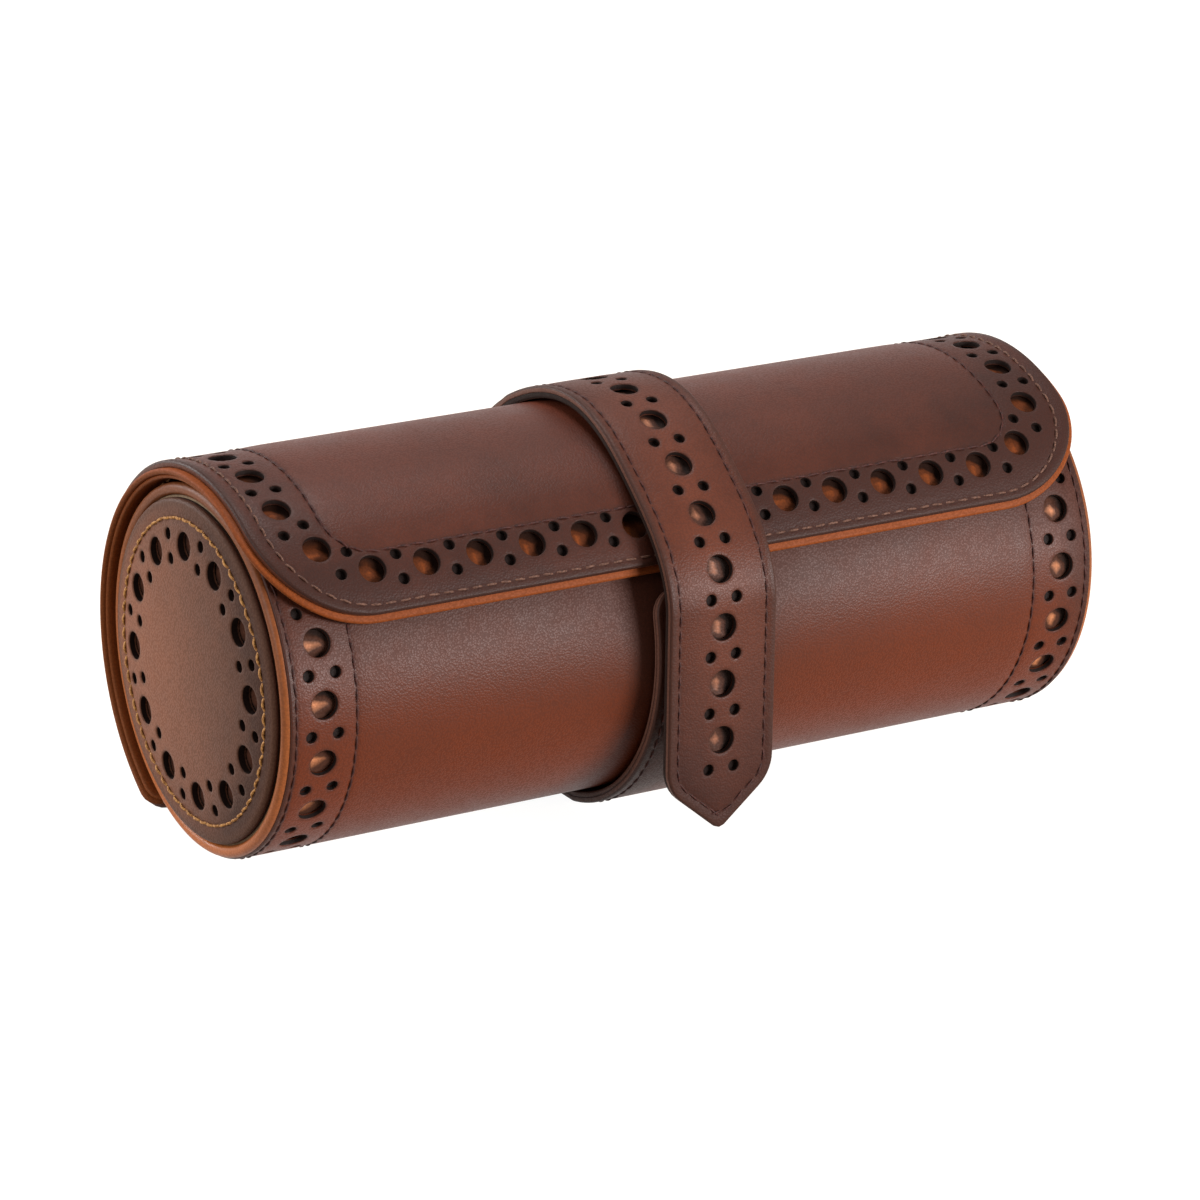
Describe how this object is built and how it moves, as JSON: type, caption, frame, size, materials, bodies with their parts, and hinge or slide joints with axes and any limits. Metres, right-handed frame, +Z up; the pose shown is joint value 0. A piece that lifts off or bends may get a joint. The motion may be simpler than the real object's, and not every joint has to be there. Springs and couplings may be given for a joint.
{
  "type": "watch roll",
  "caption": "Round leather travel roll for wristwatches: a tube with a wrap-over padded flap, a pointed front strap, and lift-out cushions in lined wells.",
  "frame": {"origin": "on the surface that the roll stands on, under the middle of its axis", "axes": "+X along the roll to the right, -Y the front where the strap hangs, +Z up"},
  "size_m": [0.2202, 0.1013, 0.0983],
  "materials": {
    "dark_leather": "dark burnished brown, satin",
    "tan_leather": "undyed tan edge and backing leather",
    "stiff_board": "pressed fibre board",
    "soft_lining": "brushed brown lining",
    "cushion_suede": "soft suede-like cloth",
    "cushion_foam": "open foam",
    "magnet_steel": "nickel-plated disc magnet"
  },
  "bodies": {
    "roll": {"body_board": "stiff_board", "body_lining": "soft_lining", "body_backing": "tan_leather", "body_cover": "dark_leather", "end_ring_left": "tan_leather", "end_ring_right": "tan_leather", "end_board_left": "stiff_board", "end_board_right": "stiff_board", "end_backing_left": "tan_leather", "end_backing_right": "tan_leather", "end_disc_left": "dark_leather", "end_disc_right": "dark_leather", "end_lining_left": "soft_lining", "end_lining_right": "soft_lining", "divider_left": "soft_lining", "divider_right": "soft_lining", "rear_lining": "tan_leather", "rear_cover": "dark_leather", "band_backing": "tan_leather", "band_cover": "dark_leather", "band_magnet": "magnet_steel"},
    "flap": {"flap_lining": "tan_leather", "flap_border": "tan_leather", "flap_board": "stiff_board", "flap_cover": "dark_leather", "strap_rear_cover": "dark_leather", "strap_rear_lining": "tan_leather"},
    "strap": {"strap_cover": "dark_leather", "strap_lining": "tan_leather", "strap_magnet": "magnet_steel"},
    "left_cushion": {"cushion_left_cover": "cushion_suede", "cushion_left_ends": "cushion_suede", "cushion_left_core": "cushion_foam"},
    "middle_cushion": {"cushion_middle_cover": "cushion_suede", "cushion_middle_ends": "cushion_suede", "cushion_middle_core": "cushion_foam"},
    "right_cushion": {"cushion_right_cover": "cushion_suede", "cushion_right_ends": "cushion_suede", "cushion_right_core": "cushion_foam"}
  },
  "joints": [
    {"name": "flap_hinge", "type": "hinge", "parent": "roll", "child": "flap", "pos_m": [0, 0.04678, 0.0376], "axis": [-1, 0, 0], "range_deg": [0, 120]},
    {"name": "strap_bend", "type": "hinge", "parent": "flap", "child": "strap", "pos_m": [0, 0.02375, 0.09053], "axis": [-1, 0, 0], "range_deg": [0, 85]},
    {"name": "left_cushion_lift", "type": "slide", "parent": "roll", "child": "left_cushion", "axis": [0, 0.6947, 0.7193], "range_m": [0, 0.029]},
    {"name": "middle_cushion_lift", "type": "slide", "parent": "roll", "child": "middle_cushion", "axis": [0, 0.6947, 0.7193], "range_m": [0, 0.029]},
    {"name": "right_cushion_lift", "type": "slide", "parent": "roll", "child": "right_cushion", "axis": [0, 0.6947, 0.7193], "range_m": [0, 0.029]}
  ]
}
